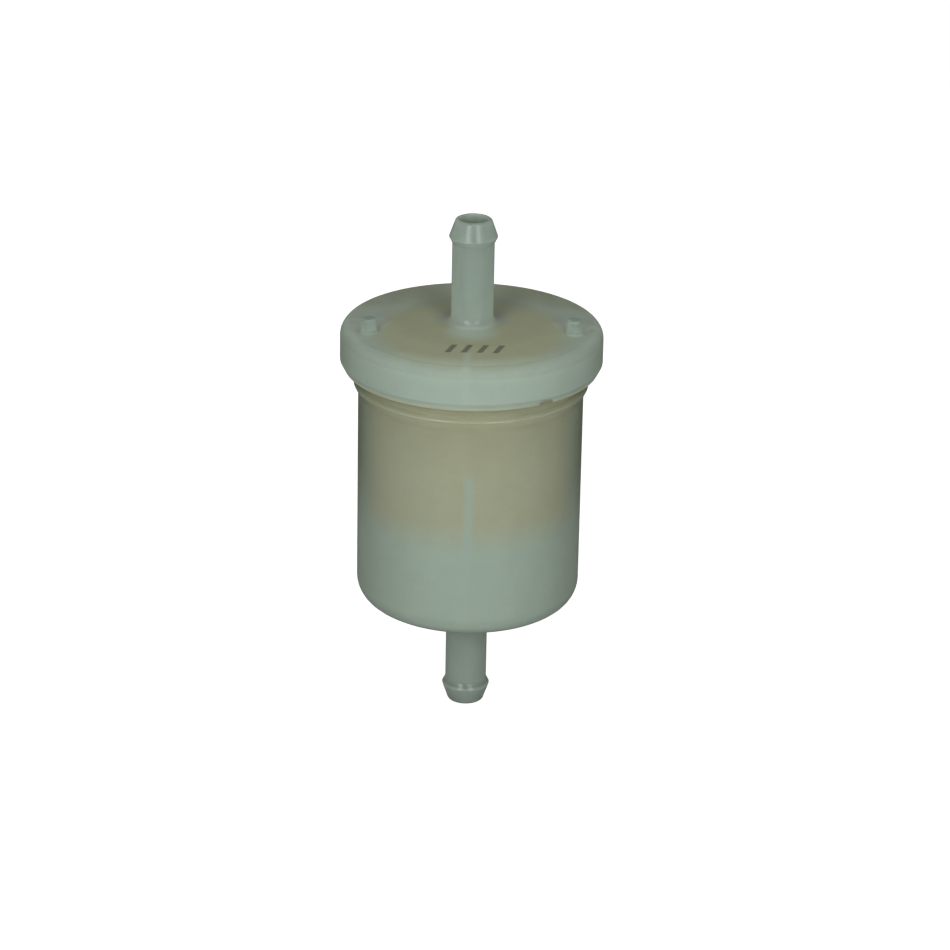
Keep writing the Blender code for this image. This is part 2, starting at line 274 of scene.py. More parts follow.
def cut_or_join(target, tools, operation):
    """Applies exact Booleans with the tools, then removes the tools."""
    for tool in tools:
        modifier = target.modifiers.new(tool.name, "BOOLEAN")
        modifier.operation = operation
        modifier.object = tool
    bake_modifiers(target)
    for tool in tools:
        bpy.data.objects.remove(tool)


def bake_modifiers(obj):
    depsgraph = bpy.context.evaluated_depsgraph_get()
    mesh = bpy.data.meshes.new_from_object(obj.evaluated_get(depsgraph))
    obj.modifiers.clear()
    obj.data = mesh


def place(obj, material, slot, *nodes, sharp=35):
    """Shades the piece, gives it its material and ties it to the frame."""
    obj.data.shade_smooth()
    obj.data.set_sharp_from_angle(angle=math.radians(sharp))
    obj.data.materials.clear()
    obj.data.materials.append(material)
    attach(obj, "root")
    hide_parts(*nodes)


# Shells.


def barb_corners():
    """The barb from its foot to the bore mouth, as (radius, distance from the end face, rounding)."""
    return [
        (TUBE_R, BARB_FOOT, 0.25),
        (BARB_R, BARB_CONE, 0.18),
        (TIP_R, 0.0, TIP_ROUNDING),
        (BORE_R, 0.0, 0.2),
    ]


def bowl_corners():
    inner_r = BOWL_R - BOWL_WALL
    corners = [
        (NECK_R, BOWL_TOP_Z, 0.2),
        (NECK_R, BEAD_TOP_Z, 0.3),
        (BEAD_R, BEAD_Z, 0.3),
        (BOWL_R, BEAD_FOOT_Z, 1.5),
        (BOWL_R, BOWL_BOTTOM_Z, BOTTOM_ROUNDING),
        (TUBE_R, BOWL_BOTTOM_Z, ROOT_FILLET),
    ]
    corners += barb_corners()
    corners += [
        (BORE_R, BOWL_FLOOR_Z, 0.4),
        (inner_r, BOWL_FLOOR_Z, BOTTOM_ROUNDING - BOWL_WALL),
        (inner_r, BOWL_TOP_Z, 0.2),
    ]
    return corners


def rib_corners():
    sunk = 0.8
    back_r = BOWL_R - BOWL_WALL + sunk
    foot_z = BOWL_FLOOR_Z - sunk
    return [
        (RIB_LEDGE_R, foot_z, 0),
        (BOWL_R - BOTTOM_ROUNDING, foot_z, 0),
        (back_r, foot_z + 3.0, 2.0),
        (back_r, RIB_TOP_Z - 0.3, 0),
        (RIB_INNER_R, RIB_TOP_Z, 0.4),
        (RIB_INNER_R, RIB_LEDGE_Z, 0.25),
        (RIB_LEDGE_R, RIB_LEDGE_Z, 0.3),
    ]


def build_bowl(material):
    bowl = turned("filter_bowl", bowl_corners(), SHELL_STEPS)
    ribs = []
    for i in range(RIB_COUNT):
        turn = at_azimuth(360 * i / RIB_COUNT - 90)
        ribs.append(slab(f"rib_{i}", rib_corners(), RIB_WIDTH, turn))
    cut_or_join(bowl, ribs, "UNION")
    place(bowl, material, "bowl_nylon", "bowl")


def crown_z(r):
    """Height of the crowned cap top at radius r."""
    return CAP_TOP_Z - CAP_CROWN * (r / CROWN_R) ** 2


def cap_corners():
    corners = [(r, LENGTH - z, rounding) for r, z, rounding in reversed(barb_corners())]
    corners += [(TUBE_R, crown_z(TUBE_R), ROOT_FILLET)]
    corners += [(r, crown_z(r), 0) for r in (6, 8, 10, 12, 14, 16, 17.5)]
    corners += [
        (CAP_R, crown_z(CAP_R), CAP_EDGE_ROUNDING),
        (CAP_R, CAP_CHAMFER_Z, 0.15),
        (CAP_RIM_R, CAP_BOTTOM_Z, 0.3),
        (CAP_INNER_R, CAP_BOTTOM_Z, 0.1),
        (CAP_INNER_R, CAP_INNER_TOP_Z, 0.4),
        (BOSS_R, CAP_INNER_TOP_Z, 0.3),
        (BOSS_R, SEAL_GROOVE_TOP_Z, 0.1),
        (SEAL_GROOVE_R, SEAL_GROOVE_TOP_Z, 0.1),
        (SEAL_GROOVE_R, SEAL_GROOVE_BOTTOM_Z, 0.1),
        (BOSS_R, SEAL_GROOVE_BOTTOM_Z, 0.1),
        (BOSS_R, BOSS_END_Z, 0.2),
        (BORE_R, BOSS_END_Z, 0.1),
    ]
    return corners


def build_stud(x, y):
    """A round stud whose flared foot ends in a skirt lying a hair above the crowned top."""
    sunk = 0.8
    hair = 0.01
    skirt_r = STUD_R + STUD_FLARE + 0.2
    corners = [
        (0, -sunk, 0),
        (skirt_r, -sunk, 0),
        (skirt_r, hair, 0),
        (STUD_R, hair, STUD_FLARE),
        (STUD_R - 0.06, STUD_RISE, 0.35),
        (0, STUD_RISE, 0),
    ]
    bm = turned_bmesh(rounded(corners), STUD_STEPS)
    for v in bm.verts:
        v.co += Vector((x, y, 0))
        v.co.z += crown_z(math.hypot(v.co.x, v.co.y))
    return to_object(bm, "stud")


def gusset_corners():
    sunk = 0.7
    outer_r = CAP_INNER_R + sunk
    top_z = CAP_INNER_TOP_Z + sunk
    return [
        (GUSSET_INNER_R, GUSSET_BOTTOM_Z, 0.4),
        (outer_r, GUSSET_BOTTOM_Z, 0),
        (outer_r, top_z, 0),
        (GUSSET_INNER_R, top_z, 0),
    ]


def build_notch():
    """The slot through the lip of the rim: one end steep, the top sloping down to the other."""
    foot_z = CAP_BOTTOM_Z - 1.0
    high_z, low_z = NOTCH_TOP_Z
    corners = [
        (-NOTCH_HALF_WIDTH - 0.9, foot_z, 0),
        (NOTCH_HALF_WIDTH + 0.9, foot_z, 0),
        (NOTCH_HALF_WIDTH, low_z, 0.2),
        (-NOTCH_HALF_WIDTH, high_z, 0.2),
    ]
    outer_r = CAP_R + 1.0
    inset = Matrix.Translation(Vector((0, -(NOTCH_INNER_R + outer_r) / 2, 0)))
    return slab("notch", corners, outer_r - NOTCH_INNER_R, at_azimuth(NOTCH_AZIMUTH + 90) @ inset)


def build_cap(material):
    cap = turned("filter_cap", cap_corners(), SHELL_STEPS)
    additions = [build_stud(x, y) for x, y in STUD_PLACES]
    for i in range(RIB_COUNT):
        turn = at_azimuth(360 * i / RIB_COUNT + GUSSET_AZIMUTH)
        additions.append(slab(f"gusset_{i}", gusset_corners(), GUSSET_WIDTH, turn))
    cut_or_join(cap, additions, "UNION")
    cut_or_join(cap, [build_notch()], "DIFFERENCE")
    place(cap, material, "cap_nylon", "cap")


# Paper element.


def ripple(point, size):
    """A smooth offset of up to about size millimetres, the same on every run."""
    return size * noise.noise(point * 0.4)


def build_lower_plate(material):
    """The closed end plate: a shallow dish below, and a locating button inside the core tube."""
    low, high = LOWER_DISC
    button_r = CORE[1].x - CORE_WALL - GAP
    face_z = LOWER_POTTING[0].z - GAP
    corners = [
        (0, low.z + DISH_DEPTH, 0),
        (DISH_FLOOR_R, low.z + DISH_DEPTH, 0.3),
        (DISH_R, low.z, 0.3),
        (high.x, low.z, 0.25),
        (high.x, face_z, 0.2),
        (button_r, face_z, 0.2),
        (button_r, high.z, 0.3),
        (0, high.z, 0),
    ]
    place(turned("closed_end_plate", corners), material, "end_plate", "lower_end_disc")


def build_upper_plate(material):
    """The open end plate, with the collar that plugs onto the cap's outlet boss."""
    low, high = UPPER_DISC
    face_z = UPPER_POTTING[1].z + GAP
    corners = [
        (COLLAR_INNER_R, low.z, 0.3),
        (COLLAR_OUTER_R, low.z, 0.2),
        (COLLAR_OUTER_R, face_z, 0.4),
        (high.x, face_z, 0.2),
        (high.x, high.z, 0.25),
        (COLLAR_INNER_R, high.z, 0.3),
    ]
    place(turned("open_end_plate", corners), material, "end_plate", "upper_end_disc")


def build_potting(name, box, paper_side_z, material, node):
    """A ring of set adhesive, flat on the end plate and slightly wavy where it wets the pleats."""
    low, high = box
    inner_r = CORE[1].x + GAP
    rings = 10
    wavy = [inner_r + (high.x - inner_r) * (i + 0.5) / rings for i in range(rings)]
    square = ((inner_r, low.z), (high.x, low.z), (high.x, high.z), (inner_r, high.z))
    corners = [(r, z, 0.15) for r, z in square]
    if paper_side_z == low.z:
        corners[1:1] = [(r, low.z, 0) for r in wavy]
    else:
        corners[3:3] = [(r, high.z, 0) for r in reversed(wavy)]
    bm = turned_bmesh(rounded(corners), INNER_STEPS)
    inward = math.copysign(1.0, (low.z + high.z) / 2 - paper_side_z)
    for v in bm.verts:
        if abs(v.co.z - paper_side_z) < 1e-4:
            v.co.z += inward * (0.08 + ripple(v.co * 2.0, 0.15))
    place(to_object(bm, name), material, "adhesive", node)


def build_core(material):
    """The tube that holds the pleats apart, with three rows of rounded slots."""
    low, high = CORE
    inner_r = high.x - CORE_WALL
    square = ((inner_r, low.z), (high.x, low.z), (high.x, high.z), (inner_r, high.z))
    core = turned("slotted_core", [(r, z, 0.15) for r, z in square])
    first_z = PAPER_BOTTOM_Z + SLOT_BRIDGE
    pitch = (PAPER_TOP_Z - first_z) / SLOT_ROWS
    inset = Matrix.Translation(Vector((0, -(inner_r + high.x) / 2, 0)))
    slots = []
    for row in range(SLOT_ROWS):
        bottom_z = first_z + row * pitch
        top_z = bottom_z + pitch - SLOT_BRIDGE
        half = SLOT_WIDTH / 2
        outline = [(-half, bottom_z, 0.7), (half, bottom_z, 0.7), (half, top_z, 0.7), (-half, top_z, 0.7)]
        for i in range(SLOT_COUNT):
            slots.append(slab(f"slot_{row}_{i}", outline, 3.0, at_azimuth(360 * i / SLOT_COUNT) @ inset))
    cut_or_join(core, slots, "DIFFERENCE")
    place(core, material, "core_plastic", "core_tube")


def build_seal(material):
    """The rubber ring in the boss's groove, with the fine flash line that its mould leaves."""
    low, high = SEAL
    section_r = (high.z - low.z) / 2
    middle_r = high.x - section_r
    middle_z = (low.z + high.z) / 2
    corners = []
    for i in range(SEAL_STEPS):
        angle = math.tau * i / SEAL_STEPS
        r = section_r - (0.0 if i % (SEAL_STEPS // 2) == 0 else SEAL_FLASH)
        corners.append((middle_r + r * math.cos(angle), middle_z + r * math.sin(angle), 0))
    place(turned("seal_ring", corners), material, "seal_rubber", "outlet_seal", sharp=60)


def pleat_line(offset):
    """The folded line of the paper seen from above, moved sideways by offset from its middle."""
    points = []
    for i in range(2 * PLEAT_COUNT):
        outward = i % 2 == 0
        angle = i * math.pi / PLEAT_COUNT
        centre_r = PLEAT_OUTER_R - FOLD_R if outward else PLEAT_INNER_R + FOLD_R
        centre = Vector((centre_r * math.cos(angle), centre_r * math.sin(angle), 0))
        radius = FOLD_R - PAPER_THICKNESS / 2 + (offset if outward else -offset)
        for step in range(FOLD_STEPS + 1):
            sweep = math.radians(FOLD_SWEEP * (step / FOLD_STEPS - 0.5))
            turn = angle + (sweep if outward else math.pi - sweep)
            points.append(centre + radius * Vector((math.cos(turn), math.sin(turn), 0)))
    return points


def build_pleats(material):
    """The star of pleats: both faces of the folded sheet, with a slight ripple up their height."""
    bm = bmesh.new()
    sheets = []
    for offset in (PAPER_THICKNESS / 2, -PAPER_THICKNESS / 2):
        line = pleat_line(offset)
        rows = []
        for level in range(PLEAT_LEVELS + 1):
            z = PAPER_BOTTOM_Z + (PAPER_TOP_Z - PAPER_BOTTOM_Z) * level / PLEAT_LEVELS
            row = []
            for point in line:
                shift = ripple(Vector((point.x, point.y, z)), PLEAT_RIPPLE)
                swirl = Vector((-point.y, point.x, 0)).normalized() * shift
                row.append(bm.verts.new(point + swirl + Vector((0, 0, z))))
            rows.append(row)
        sheets.append(rows)
    outer, inner = sheets
    walls = list(zip(outer, outer[1:])) + list(zip(inner[1:], inner))
    walls += [(outer[-1], inner[-1]), (inner[0], outer[0])]
    for a, b in walls:
        for i in range(len(a)):
            bm.faces.new((a[i - 1], a[i], b[i], b[i - 1]))
    place(to_object(bm, "paper_pleats"), material, "filter_paper", "pleated_paper", sharp=50)


def build_seam(material):
    """The strip that joins the paper's two free ends, standing in the mouth of one pleat."""
    middle_r = PLEAT_OUTER_R - SEAM_INSET - SEAM_LENGTH / 2
    half = SEAM_LENGTH / 2
    thin = SEAM_THICKNESS / 2
    section = [(-half, -thin, 0.12), (half, -thin, 0.12), (half, thin, 0.12), (-half, thin, 0.12)]
    outline = [Vector((middle_r + p.x, p.y, 0)) for p in rounded(section)]
    bm = bmesh.new()
    rows = []
    for level in range(PLEAT_LEVELS + 1):
        z = PAPER_BOTTOM_Z + (PAPER_TOP_Z - PAPER_BOTTOM_Z) * level / PLEAT_LEVELS
        lean = Vector((0, ripple(Vector((0, 0, z)), 0.05), z))
        rows.append([bm.verts.new(at_azimuth(SEAM_AZIMUTH) @ (point + lean)) for point in outline])
    for a, b in zip(rows, rows[1:]):
        for i in range(len(a)):
            bm.faces.new((a[i - 1], a[i], b[i], b[i - 1]))
    bm.faces.new(rows[0])
    bm.faces.new(rows[-1])
    place(to_object(bm, "paper_seam"), material, "seam_tape", "seam_strip")


def build_element():
    plate = pressed_plate()
    glue = adhesive()
    build_lower_plate(plate)
    build_upper_plate(plate)
    build_potting("lower_glue_ring", LOWER_POTTING, LOWER_POTTING[1].z, glue, "lower_potting")
    build_potting("upper_glue_ring", UPPER_POTTING, UPPER_POTTING[0].z, glue, "upper_potting")
    build_pleats(filter_paper())
    build_core(core_plastic())
    build_seal(rubber())
    build_seam(seam_tape())


# Node helpers.


class Tree:
    """A material's node tree, with one short call for each kind of node."""

    def __init__(self, name):
        self.material = bpy.data.materials.new(name)
        self.material.use_nodes = True
        self.nodes = self.material.node_tree.nodes
        self.shader = self.nodes["Principled BSDF"]
        coordinates = self.nodes.new("ShaderNodeTexCoord")
        scaled = self.nodes.new("ShaderNodeVectorMath")
        scaled.operation = "SCALE"
        scaled.inputs["Scale"].default_value = 1 / MM
        self.link(coordinates.outputs["Object"], scaled.inputs[0])
        self.point = scaled.outputs[0]
        split = self.nodes.new("ShaderNodeSeparateXYZ")
        self.link(self.point, split.inputs[0])
        self.x, self.y, self.z = split.outputs
        square = self.math("ADD", self.math("POWER", self.x, 2.0), self.math("POWER", self.y, 2.0))
        self.r = self.math("SQRT", square)

    def link(self, value, socket):
        """Feeds a socket from another node's output or with a fixed value."""
        if isinstance(value, bpy.types.NodeSocket):
            self.material.node_tree.links.new(value, socket)
        elif value is not None:
            socket.default_value = value

    def math(self, operation, a, b=None, c=None):
        node = self.nodes.new("ShaderNodeMath")
        node.operation = operation
        for value, socket in zip((a, b, c), node.inputs):
            self.link(value, socket)
        return node.outputs[0]

    def ramp(self, value, start, end, low=0.0, high=1.0):
        """Runs smoothly from low to high while value goes from start to end."""
        node = self.nodes.new("ShaderNodeMapRange")
        node.interpolation_type = "SMOOTHSTEP"
        keys = ("Value", "From Min", "From Max", "To Min", "To Max")
        for key, entry in zip(keys, (value, start, end, low, high)):
            self.link(entry, node.inputs[key])
        return node.outputs[0]

    def times(self, *factors):
        product = factors[0]
        for factor in factors[1:]:
            product = self.math("MULTIPLY", product, factor)
        return product

    def mix(self, factor, a, b, blend="MIX"):
        node = self.nodes.new("ShaderNodeMix")
        node.data_type = "RGBA"
        node.blend_type = blend
        self.link(factor, node.inputs["Factor"])
        for value, socket in ((a, node.inputs[6]), (b, node.inputs[7])):
            self.link((*value, 1.0) if isinstance(value, tuple) else value, socket)
        return node.outputs[2]

    def noise(self, scale, detail=3.0, vector=None):
        """Noise with about scale cells per millimetre."""
        node = self.nodes.new("ShaderNodeTexNoise")
        self.link(vector or self.point, node.inputs["Vector"])
        self.link(scale, node.inputs["Scale"])
        self.link(detail, node.inputs["Detail"])
        return node.outputs["Fac"]

    def bump(self, height, distance_mm, strength=1.0):
        node = self.nodes.new("ShaderNodeBump")
        self.link(height, node.inputs["Height"])
        self.link(distance_mm * MM, node.inputs["Distance"])
        self.link(strength, node.inputs["Strength"])
        self.link(node.outputs[0], self.shader.inputs["Normal"])

    def set(self, **inputs):
        """Feeds Principled inputs, named with underscores for spaces."""
        for name, value in inputs.items():
            if isinstance(value, tuple) and len(value) == 3 and "Radius" not in name:
                value = (*value, 1.0)
            self.link(value, self.shader.inputs[name.replace("_", " ")])


# Materials. The clear glossy share of the nylon's surface, then its colours; those named painted light or
# painted shade stand in for light and shade on the walls.
NYLON_GLOSS = 0.6
MILK = (0.415, 0.51, 0.425)
MILK_FACE = (0.43, 0.525, 0.445)
MILK_RIB = (0.393, 0.517, 0.487)
MILK_TOP = (0.46, 0.55, 0.46)
MILK_ROOT = (0.545, 0.65, 0.54)
MILK_TUBE = (0.315, 0.385, 0.335)
TUBE_SIDE_PAINTED_LIGHT = (0.42, 0.51, 0.435)
MILK_FOOT_TUBE = (0.38, 0.455, 0.395)
BORE_PAINTED_LIGHT = (0.37, 0.44, 0.38)
MOUTH_PAINTED_LIGHT = (0.44, 0.52, 0.45)
BARB_SLOPE_PAINTED_SHADE = (0.25, 0.305, 0.26)
BELLY_PAINTED_LIGHT = (0.58, 0.70, 0.60)
STUD_WALL_PAINTED_SHADE = (0.245, 0.30, 0.255)
STUD_FOOT_PAINTED_SHADE = (0.31, 0.38, 0.325)
STUD_TOP_PAINTED_LIGHT = (0.345, 0.415, 0.355)
STUD_RIM_PAINTED_SHADE = (0.28, 0.34, 0.29)
STUD_SHADOW_PAINTED_LIGHT = (0.68, 0.77, 0.64)
FRONT_RIM_PAINTED_LIGHT = (0.57, 0.65, 0.51)
MILK_GUSSET = (0.56, 0.665, 0.575)
CREAM = (0.44, 0.46, 0.325)
CREAM_HIGH_PAINTED_SHADE = (0.40, 0.412, 0.28)
CREAM_TOP = (0.498, 0.529, 0.345)
CREAM_LIP_PAINTED_LIGHT = (0.66, 0.74, 0.53)
NECK_PAINTED_SHADE = (0.44, 0.45, 0.30)
BEAD_CREST_PAINTED_SHADE = (0.36, 0.38, 0.27)
BEAD_UNDERSIDE_PAINTED_LIGHT = (0.48, 0.495, 0.335)
BACK_PAINTED_SHADE = (0.50, 0.57, 0.40)
SPIGOT_PAINTED_SHADOW = (0.46, 0.52, 0.385)
FILLET_SIDE_PAINTED_SHADE = (0.43, 0.50, 0.36)
OUTLINE_PAINTED_SHADE = (0.16, 0.185, 0.10)
INK = (0.12, 0.13, 0.10)


def grey(tree, value):
    node = tree.nodes.new("ShaderNodeCombineColor")
    for socket in node.inputs:
        tree.link(value, socket)
    return node.outputs[0]


def shaded(tree, colour, factor):
    """The colour made darker or lighter by a factor."""
    return tree.mix(1.0, colour, grey(tree, factor), "MULTIPLY")


def towards_viewer(tree):
    """The x and y of the unit vector to the viewer."""
    incoming = tree.nodes.new("ShaderNodeNewGeometry").outputs["Incoming"]
    split = tree.nodes.new("ShaderNodeSeparateXYZ")
    tree.link(incoming, split.inputs[0])
    return split.outputs[:2]


def radius_below(tree, depth):
    """Distance from the axis of what is seen depth millimetres below the surface, through the nylon."""
    ix, iy = towards_viewer(tree)
    x = tree.math("SUBTRACT", tree.x, tree.times(ix, depth))
    y = tree.math("SUBTRACT", tree.y, tree.times(iy, depth))
    return tree.math("SQRT", tree.math("ADD", tree.times(x, x), tree.times(y, y)))


def depth_share(tree):
    """1 at the rim nearest the viewer, 0 on the axis, -1 at the rim farthest from the viewer."""
    ix, iy = towards_viewer(tree)
    along = tree.math("ADD", tree.times(tree.x, ix), tree.times(tree.y, iy))
    flat = tree.math("SQRT", tree.math("ADD", tree.times(ix, ix), tree.times(iy, iy)))
    return tree.math("DIVIDE", tree.math("DIVIDE", along, flat), CAP_R)


def off_centre(tree):
    """Distance in millimetres from the upright plane through the axis and the viewer."""
    ix, iy = towards_viewer(tree)
    across = tree.math("SUBTRACT", tree.times(tree.x, iy), tree.times(tree.y, ix))
    flat = tree.math("SQRT", tree.math("ADD", tree.times(ix, ix), tree.times(iy, iy)))
    return tree.math("ABSOLUTE", tree.math("DIVIDE", across, flat))


def outline_share(tree):
    """0 on the side of the round body that faces the viewer, 1 at its left and right outlines."""
    ix, iy = towards_viewer(tree)
    along = tree.math("ADD", tree.times(tree.x, ix), tree.times(tree.y, iy))
    along = tree.math("ABSOLUTE", tree.math("DIVIDE", along, tree.r))
    flat = tree.math("SQRT", tree.math("ADD", tree.times(ix, ix), tree.times(iy, iy)))
    return tree.math("SUBTRACT", flat, along)


def nylon(name, tint, gloss):
    """Milky nylon: tint(tree, away) gives the colour seen through the wall with painted light and shade,
    gloss(tree) its sheen.
    """
    tree = Tree(name)
    away = outline_share(tree)
    clouds = tree.times(
        tree.ramp(tree.noise(0.35), 0.3, 0.7, 0.985, 1.015),
        tree.ramp(tree.noise(3.0, 2.0), 0.3, 0.7, 0.985, 1.015),
    )
    tree.set(
        Base_Color=shaded(tree, tint(tree, away), clouds),
        Roughness=tree.ramp(tree.noise(1.2), 0.3, 0.7, 0.56, 0.64),
        IOR=1.53,
        Specular_IOR_Level=0.20,
        Coat_Weight=gloss(tree),
        Coat_Roughness=0.08,
        Subsurface_Weight=1.0,
        Subsurface_Radius=(1.0, 1.1, 0.95),
        Subsurface_Scale=2.5 * MM,
    )
    tree.bump(tree.noise(0.25, 1.0), 0.03)
    return tree.material


def rib_line(tree, azimuth, width):
    """1 on the four thin lines where the ribs back the wall."""
    pitch = math.tau / RIB_COUNT
    angle = tree.math("ARCTAN2", tree.y, tree.x)
    turned_angle = tree.math("SUBTRACT", angle, math.radians(azimuth) - pitch / 2 - math.tau)
    wrapped = tree.math("SUBTRACT", tree.math("MODULO", turned_angle, pitch), pitch / 2)
    aside = tree.times(tree.math("ABSOLUTE", wrapped), tree.r)
    return tree.ramp(aside, width * 0.1, width * 1.0, 1.0, 0.0)


def spigot_tint(tree, colour, away, from_end, painted_slope_colour):
    """Painted light and shade on a spigot: lighter sides, a re-shaded back slope of its barb, and a lighter
    bore and mouth.
    """
    tube = tree.ramp(tree.r, BARB_R + 0.15, BARB_R + 0.55, 1.0, 0.0)
    middle = (BARB_CONE + BARB_FOOT) / 2
    slope = tree.times(
        tree.ramp(from_end, BARB_CONE, middle),
        tree.ramp(from_end, BARB_FOOT + 0.3, middle),
    )
    bore = tree.ramp(tree.r, BORE_R + 0.05, BORE_R + 0.3, 1.0, 0.0)
    # Painted light: the tube lighter towards its left and right sides.
    colour = tree.mix(tree.times(tube, tree.ramp(away, 0.0, 0.6)), colour, TUBE_SIDE_PAINTED_LIGHT)
    # The barb's back slope in painted_slope_colour: painted light on the cap's spigot, painted shade on the
    # bowl's.
    colour = tree.mix(tree.times(tube, slope, 0.8), colour, painted_slope_colour)
    # Painted light: the bore lightened, and its mouth lightened most.
    return tree.mix(bore, colour, tree.mix(tree.ramp(from_end, 0.0, 1.0), MOUTH_PAINTED_LIGHT, BORE_PAINTED_LIGHT))


def bowl_tint(tree, away):
    """The bowl: cream where the paper shows, milky below it, with one pale line per rib, and painted light
    and shade: darker outlines, neck, bead crest and upper cream, lighter bead underside and belly, darker
    towards the lower spigot's end.
    """
    wall = tree.ramp(tree.r, 12.0, 16.0)
    paper = tree.times(
        wall,
        tree.ramp(tree.z, PAPER_BOTTOM_Z - 4.6, PAPER_BOTTOM_Z + 2.2),
        tree.ramp(away, 0.36, 0.66, 1.0, 0.15),
    )
    rib = tree.times(
        wall,
        rib_line(tree, -90.0, RIB_WIDTH),
        tree.ramp(tree.z, RIB_TOP_Z - 0.3, RIB_TOP_Z + 0.5, 1.0, 0.0),
        tree.ramp(tree.z, 27.0, 38.0),
    )
    # Cream from the paper behind the wall, with painted shade that darkens it towards the top of the bowl.
    cream = tree.mix(tree.ramp(tree.z, 44.0, 54.0), CREAM, CREAM_HIGH_PAINTED_SHADE)
    colour = tree.mix(paper, MILK, cream)
    colour = tree.mix(tree.times(rib, 0.6), colour, MILK_RIB)
    # Painted light: the bead's downward-facing underside lightened so that it shows no shade.
    painted_light_under = tree.times(
        tree.ramp(tree.z, BEAD_FOOT_Z - 0.3, BEAD_FOOT_Z + 0.3),
        tree.ramp(tree.z, BEAD_Z - 0.5, BEAD_Z - 0.1, 1.0, 0.0),
    )
    colour = tree.mix(painted_light_under, colour, BEAD_UNDERSIDE_PAINTED_LIGHT)
    # Painted shade: the neck darker under the cap's overhang.
    colour = tree.mix(tree.ramp(tree.z, BEAD_Z + 0.1, BEAD_TOP_Z + 0.15), colour, NECK_PAINTED_SHADE)
    # Painted shade: the bead's upward-facing crest darkened where it catches the lights.
    painted_shade_crest = tree.times(
        tree.ramp(tree.z, BEAD_Z - 0.4, BEAD_Z - 0.05),
        tree.ramp(tree.z, BEAD_Z + 0.3, BEAD_Z + 0.7, 1.0, 0.0),
    )
    colour = tree.mix(tree.times(painted_shade_crest, 0.6), colour, BEAD_CREST_PAINTED_SHADE)
    # Painted shade: the wall darker towards its left and right outlines, more so higher up.
    edge = tree.times(wall, tree.ramp(away, 0.28, 0.85), tree.ramp(tree.z, 28.0, 45.0, 0.15, 0.90))
    colour = tree.mix(edge, colour, OUTLINE_PAINTED_SHADE)
    # Painted light: the downward-facing rounding at the bottom of the bowl lightened.
    painted_light_belly = tree.times(
        tree.ramp(tree.z, BOWL_BOTTOM_Z + 0.8, BOWL_BOTTOM_Z + 3.2, 1.0, 0.0),
        tree.ramp(away, 0.3, 0.9, 1.0, 0.3),
    )
    colour = tree.mix(painted_light_belly, colour, BELLY_PAINTED_LIGHT)
    colour = tree.mix(tree.ramp(tree.r, 4.0, 9.0, 1.0, 0.0), colour, MILK_FOOT_TUBE)
    colour = spigot_tint(tree, colour, away, tree.z, BARB_SLOPE_PAINTED_SHADE)
    # Painted shade: darker towards the lower spigot's end.
    return shaded(tree, colour, tree.ramp(tree.z, 3.5, 11.0, 0.88, 1.0))


def cap_gloss(tree):
    """Matt on the cap itself and glossier on its spigot."""
    return tree.ramp(tree.r, 4.2, 6.5, NYLON_GLOSS, 0.0)


def ink_mask(tree):
    """1 on the row of slanted ink ticks printed on the cap's top."""
    from_row = tree.math("SUBTRACT", tree.y, INK_ROW_Y)
    leaning = tree.math("SUBTRACT", tree.x, tree.times(from_row, INK_LEAN))
    row = tree.ramp(tree.math("ABSOLUTE", from_row), INK_HEIGHT / 2 - 0.25, INK_HEIGHT / 2 + 0.1, 1.0, 0.0)
    ticks = None
    for i in range(INK_COUNT):
        offset = tree.math("ABSOLUTE", tree.math("SUBTRACT", leaning, INK_FIRST_X + i * INK_PITCH))
        tick = tree.ramp(offset, INK_WIDTH / 2 - 0.15, INK_WIDTH / 2 + 0.15, 1.0, 0.0)
        ticks = tree.math("MAXIMUM", ticks, tick) if ticks else tick
    return tree.times(row, ticks)


def on_cap_top(tree):
    """1 on the cap's top, falling to 0 down the rounded edge."""
    return tree.ramp(tree.z, 61.0, CAP_BEND_Z)


